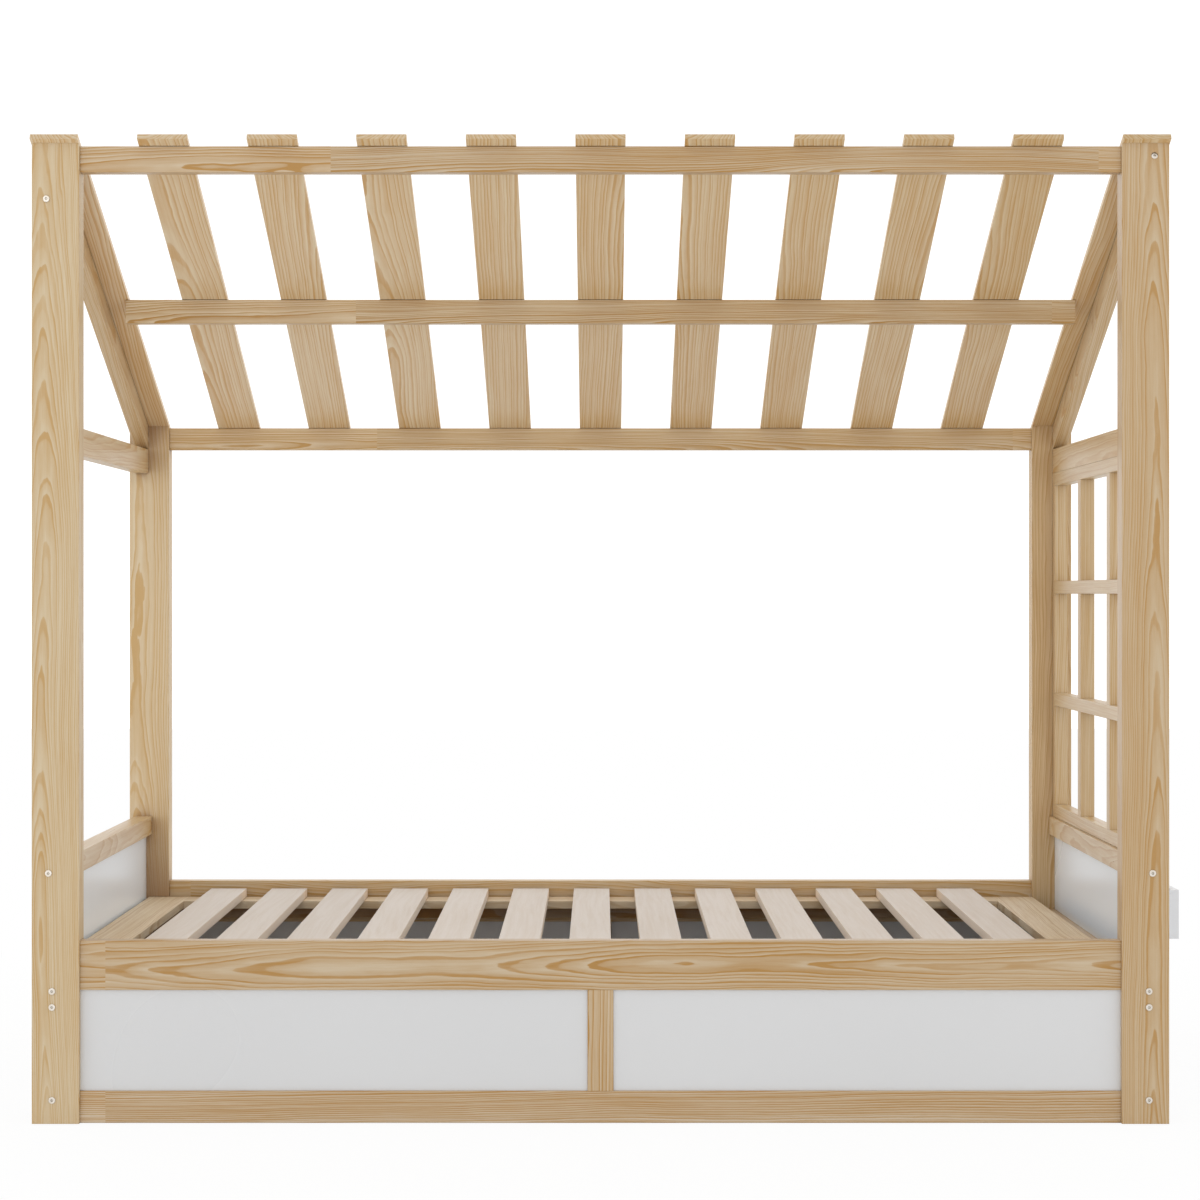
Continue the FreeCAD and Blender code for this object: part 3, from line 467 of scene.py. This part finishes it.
# Roof slats, whose undersides are paler than the other timbers as painted light from below, and paler
# from right to left as painted light from the left. The outer two lie on rafters, where the painted
# contact shade is kept faint.
ROOF_PINE_PAINTED_LIGHTER = np.array((226.0, 206.0, 171.0))
ROOF_LATE_PAINTED_LIGHTER = np.array((202.0, 159.0, 98.0))
ROOF_LEFT_LIGHT = np.array((5.0, 6.5, 9.5))   # how much paler the left-hand slat is than the middle, as painted light
SLAT_PITHS = ((60, -24), (-40, -40), (62, -30), (-48, -38), (70, -24), (54, -26),
              (-60, -28), (-70, -30), (66, -32), (-62, -28), (44, -40))
MIDDLE_SLAT = (len(SLAT_PITHS) + 1) // 2
for number, pith in enumerate(SLAT_PITHS, 1):
    paler = ROOF_LEFT_LIGHT * (MIDDLE_SLAT - number) / (MIDDLE_SLAT - 1)
    on_a_rafter = number in (1, len(SLAT_PITHS))
    wood(f"roof_slat_{number:02d}", DOWN_THE_ROOF, UNDER_THE_ROOF, pith=pith,
         pale=ROOF_PINE_PAINTED_LIGHTER + paler, late=ROOF_LATE_PAINTED_LIGHTER + paler, year=5.8, wander=0.8, lean=-0.03,
         deeper=0.22, seam_shade=0.2 if on_a_rafter else 0.85)

# Slatted base, where each bed slat is a length of its own
BED_SLATS = 13
BED_SLAT_WIDTH = 0.076
slats_low, slats_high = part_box("bed_slats")
slats_pitch = (slats_high.x - slats_low.x - BED_SLAT_WIDTH) / (BED_SLATS - 1)
half_way = (slats_pitch + BED_SLAT_WIDTH) / 2
gaps = np.linspace(slats_low.x + half_way, slats_high.x - half_way, BED_SLATS - 1)
# The bed slats' long edges take a paler, warmer tone as painted light.
wood("bed_slats", Y_WAY, Z_WAY, pith=(6, -60), pale=(222, 212, 202), late=(204, 187, 167),
     lines=0.12, splits=gaps, shades=seeds.uniform(0.0, 0.05, BED_SLATS), dull=0.55,
     lit_sides_tone=(236, 219, 200))
wood("slat_frame_side_boards", X_WAY, Z_WAY, pith=(20, -30), pale=(224, 207, 180),
     late=BARE_LATE, lines=0.7, splits=BETWEEN_THE_TWO, split_axis=AXIS_Y,
     shades=(0.03, 0.0), dull=0.55)
wood("slat_frame_end_boards", Y_WAY, Z_WAY, pith=(20, -34), pale=(233, 217, 190),
     late=(192, 158, 110), lines=0.7, splits=BETWEEN_THE_TWO, shades=(0.0, 0.03), dull=0.55)
# The cleats take strong painted shade deep in their wide corners, for the deep shade under the slat
# frame.
wood("slat_frame_cleats", X_WAY, Z_WAY, pith=(8, -20), pale=PINE, late=LATE_PINE,
     splits=BETWEEN_THE_TWO, split_axis=AXIS_Y, shades=(0.0, 0.04), hollow_shade=0.9)
wood("wood_dowels", X_WAY, Z_WAY, pith=(8, -20), pale=(214, 190, 156), late=BARE_LATE,
     lines=0.5, dull=0.5)


# White paint and zinc

PAINT_CLOUDS = 3          # levels of 255 that the paint's tone varies by, either way
PAINT_EDGE = 8            # levels that the tone for the edges is paler by, a painted highlight
PAINT_EDGE_SHOWS = 0.5    # how much of that tone shows on a tight edge


def lacquer(name, tone, *covered):
    """White satin paint: the faint pebble of a sprayed coat, a little uneven in sheen, with a painted
    highlight along its edges.
    """
    material, tree, shader = new_material(name)
    tone = np.array(tone)
    here = object_place(tree)
    pebble = noise(tree, here, (260.0, 260.0, 260.0))
    clouds = noise(tree, here, (1.6, 1.6, 1.6), 0.0)
    edge = edge_of(tree, 1.2 * MM)
    colour = blend_colour(tree, span(tree, clouds, 0.1, 0.9, 0.0, 1.0),
                          tint(*(tone - PAINT_CLOUDS)), tint(*(tone + PAINT_CLOUDS)))
    # Painted highlight along the edges
    colour = blend_colour(tree, calc(tree, "MULTIPLY", edge, PAINT_EDGE_SHOWS), colour,
                          tint(*(tone + PAINT_EDGE)))
    rough = span(tree, clouds, 0.1, 0.9, 0.26, 0.30)
    fill_shader(tree, shader, colour, rough, pebble, relief=0.2 * MM, strength=0.12)
    dress(material, *covered)


# One white paint in two tones for the panels: the end panels' copy paler and bluer, as painted light
# that makes up for the weaker, warmer light reaching them, and the side panels' copy a little darker,
# against the stronger light on them.
lacquer("white_side_lacquer", (214, 214, 214), "front_panel_left", "front_panel_right",
        "rear_panel_left", "rear_panel_right")
lacquer("white_end_lacquer", (236, 243, 250), "left_upper_panel", "left_lower_panel",
        "right_upper_panel", "right_lower_panel")
lacquer("white_box_lacquer", (229, 231, 234), "flower_box_long_boards",
        "flower_box_end_boards", "flower_box_bottom")


def zinc(name, *covered):
    """Zinc-plated steel: warm white metal, finely brushed and slightly mottled, with painted shade in
    the sockets of the bolt heads.
    """
    material, tree, shader = new_material(name)
    here = object_place(tree)
    brushed = noise(tree, here, (900.0, 900.0, 4000.0))
    mottle = noise(tree, here, (180.0, 180.0, 180.0))
    colour = blend_colour(tree, span(tree, mottle, 0.35, 0.65, 0.0, 1.0),
                          tint(222, 212, 197), tint(236, 230, 221))
    # Painted shade in the sockets of the bolt heads
    recess = painted_shade_share(tree, 4 * MM, closed=0.35, clear=0.85, most=0.85, samples=6)
    colour = blend_colour(tree, recess, colour, tint(96, 84, 68))
    rough = span(tree, brushed, 0.3, 0.7, 0.26, 0.40)
    fill_shader(tree, shader, colour, rough, brushed, relief=0.1 * MM, strength=0.15)
    shader.inputs["Metallic"].default_value = 1.0
    dress(material, *covered)


zinc("zinc_plate", "end_timber_bolts", "long_rail_bolts", "barrel_nuts", "wood_screws",
     "small_screws")


# Floor

FLOOR_REACH = 14.0
FLOOR_POINTS = 9          # along each side
FLOOR_DROP = 0.6 * MM     # how far it lies under the feet, which keeps the two apart

# How far from the bed's middle its shadow, and the floor's glow, start to fade and are gone
SHADOW_FADES = (1.3, 2.4)
GLOW_FADES = (1.0, 2.2)
BOX_HALF_LENGTH = 0.975   # of the floor inside the bed box
BOX_HALF_WIDTH = 0.525


def open_floor(tree, here):
    """The floor round the bed, white to the camera but for the bed's own shadow.

    Other rays meet a plain pale floor, which sends up a little blue light close to the bed.
    """
    away = vector_calc(tree, "LENGTH", here)
    shadowed = put(tree, "ShaderNodeBsdfDiffuse", {"Color": WHITE}).outputs[0]
    bright = put(tree, "ShaderNodeEmission", {"Color": WHITE, "Strength": 1.0}).outputs[0]
    seen = blend_shader(tree, span(tree, away, *SHADOW_FADES, 0.91, 1.0), shadowed, bright)
    plain = put(tree, "ShaderNodeBsdfDiffuse", {"Color": (0.92, 0.92, 0.92, 1)}).outputs[0]
    glow = put(tree, "ShaderNodeEmission",
               {"Color": (0.45, 0.70, 1.0, 1),
                "Strength": span(tree, away, *GLOW_FADES, 0.09, 0.0)}).outputs[0]
    plain = put(tree, "ShaderNodeAddShader", {0: plain, 1: glow}).outputs[0]
    camera_ray = put(tree, "ShaderNodeLightPath").outputs["Is Camera Ray"]
    return blend_shader(tree, camera_ray, plain, seen)


def shaded_floor(tree, from_middle):
    """The floor inside the bed box, bluish white at the left and darker towards the right, as painted
    shade.
    """
    rightwards = span(tree, along_axis(tree, from_middle, AXIS_X), -0.9, 0.3, 0.0, 1.0)
    grey = blend_colour(tree, rightwards, (0.95, 0.96, 1.0, 1), (0.56, 0.61, 0.70, 1))
    return put(tree, "ShaderNodeBsdfDiffuse", {"Color": grey}).outputs[0]


def make_floor():
    """A wide level sheet at the height of the floor, a grid of evenly spaced points."""
    steps = np.linspace(-FLOOR_REACH, FLOOR_REACH, FLOOR_POINTS)
    x, y = np.meshgrid(steps, steps, indexing="ij")
    points = np.column_stack([x.ravel(), y.ravel(), np.full(x.size, -FLOOR_DROP)])
    index = np.arange(x.size).reshape(x.shape)
    faces = np.stack([index[:-1, :-1], index[1:, :-1], index[1:, 1:], index[:-1, 1:]], -1)
    mesh = bpy.data.meshes.new("studio_floor")
    mesh.from_pydata(points.tolist(), [], faces.reshape(-1, 4).tolist())
    floor = bpy.data.objects.new("studio_floor", mesh)
    bpy.context.scene.collection.objects.link(floor)

    material = bpy.data.materials.new("studio_floor")
    material.use_nodes = True
    tree = material.node_tree
    tree.nodes.clear()
    here = object_place(tree)
    from_middle = vector_calc(tree, "ADD", here, (-MIDDLE_X, 0, 0))
    part_way = vector_calc(tree, "ABSOLUTE", vector_calc(
        tree, "DIVIDE", from_middle, (BOX_HALF_LENGTH, BOX_HALF_WIDTH, 1)))
    reached = calc(tree, "MAXIMUM", along_axis(tree, part_way, AXIS_X),
                   along_axis(tree, part_way, AXIS_Y))
    either = blend_shader(tree, calc(tree, "GREATER_THAN", reached, 1.0),
                          shaded_floor(tree, from_middle), open_floor(tree, here))
    put(tree, "ShaderNodeOutputMaterial", {"Surface": either})
    mesh.materials.append(material)


# Light and camera

LOW_SKY = 1.20            # strength of the light that comes in level
HIGH_SKY = 0.84           # and of the light from high up


def make_world():
    """White where the camera or a reflection sees it, and a plain level of light elsewhere."""
    world = bpy.data.worlds.new("studio")
    bpy.context.scene.world = world
    world.use_nodes = True
    tree = world.node_tree
    tree.nodes.clear()
    ray = put(tree, "ShaderNodeLightPath")
    seen = calc(tree, "MAXIMUM", ray.outputs["Is Camera Ray"], ray.outputs["Is Glossy Ray"])
    seen = calc(tree, "MAXIMUM", seen, ray.outputs["Is Transmission Ray"])
    way = put(tree, "ShaderNodeTexCoord").outputs["Generated"]
    rise = along_axis(tree, way, AXIS_Z)
    level = calc(tree, "MAXIMUM", seen, span(tree, rise, 0.0, 0.9, LOW_SKY, HIGH_SKY))
    sky = put(tree, "ShaderNodeBackground", {"Color": WHITE, "Strength": level}).outputs[0]
    put(tree, "ShaderNodeOutputWorld", {"Surface": sky})


def make_lamp(name, place, aim, size, power):
    """A soft lamp of this width and height at one place, turned to face another."""
    lamp = bpy.data.lights.new(name, "AREA")
    lamp.shape = "RECTANGLE"
    lamp.size, lamp.size_y = size
    lamp.energy = power
    holder = bpy.data.objects.new(name, lamp)
    holder.location = place
    holder.rotation_euler = (Vector(aim) - Vector(place)).to_track_quat("-Z", "Y").to_euler()
    bpy.context.scene.collection.objects.link(holder)


PHOTO_SIDE = 1200                  # pixels
SIGHT_PIXEL = (600.5, 592.35)      # where the level line of sight meets the photograph
FOCAL_PIXELS = 2827.33             # pixels that a metre fills at a distance of one metre
CAMERA_DISTANCE = 5.02             # from the front posts' faces
CAMERA_HEIGHT = 0.9439


def make_camera():
    """The photograph's view: level, square to the front, a little above half height."""
    camera = bpy.data.cameras.new("camera")
    camera.sensor_width = 36.0
    camera.lens = camera.sensor_width * FOCAL_PIXELS / PHOTO_SIDE
    camera.shift_x = (PHOTO_SIDE / 2 - SIGHT_PIXEL[0]) / PHOTO_SIDE
    camera.shift_y = (SIGHT_PIXEL[1] - PHOTO_SIDE / 2) / PHOTO_SIDE
    holder = bpy.data.objects.new("camera", camera)
    holder.location = (MIDDLE_X, FRONT_FACE_Y - CAMERA_DISTANCE, CAMERA_HEIGHT)
    holder.rotation_euler = (math.pi / 2, 0, 0)
    bpy.context.scene.collection.objects.link(holder)
    bpy.context.scene.camera = holder


make_floor()
make_world()
make_lamp("front_softbox", place=(-4.5, -11.5, 1.3), aim=(0, 0, 1.1), size=(5.0, 2.4), power=40.0)
make_lamp("overhead_softbox", place=(-0.6, -1.6, 4.6), aim=(0, 0, 0.6), size=(3.0, 3.0), power=8.0)
make_camera()
bpy.context.scene.view_settings.view_transform = "Standard"
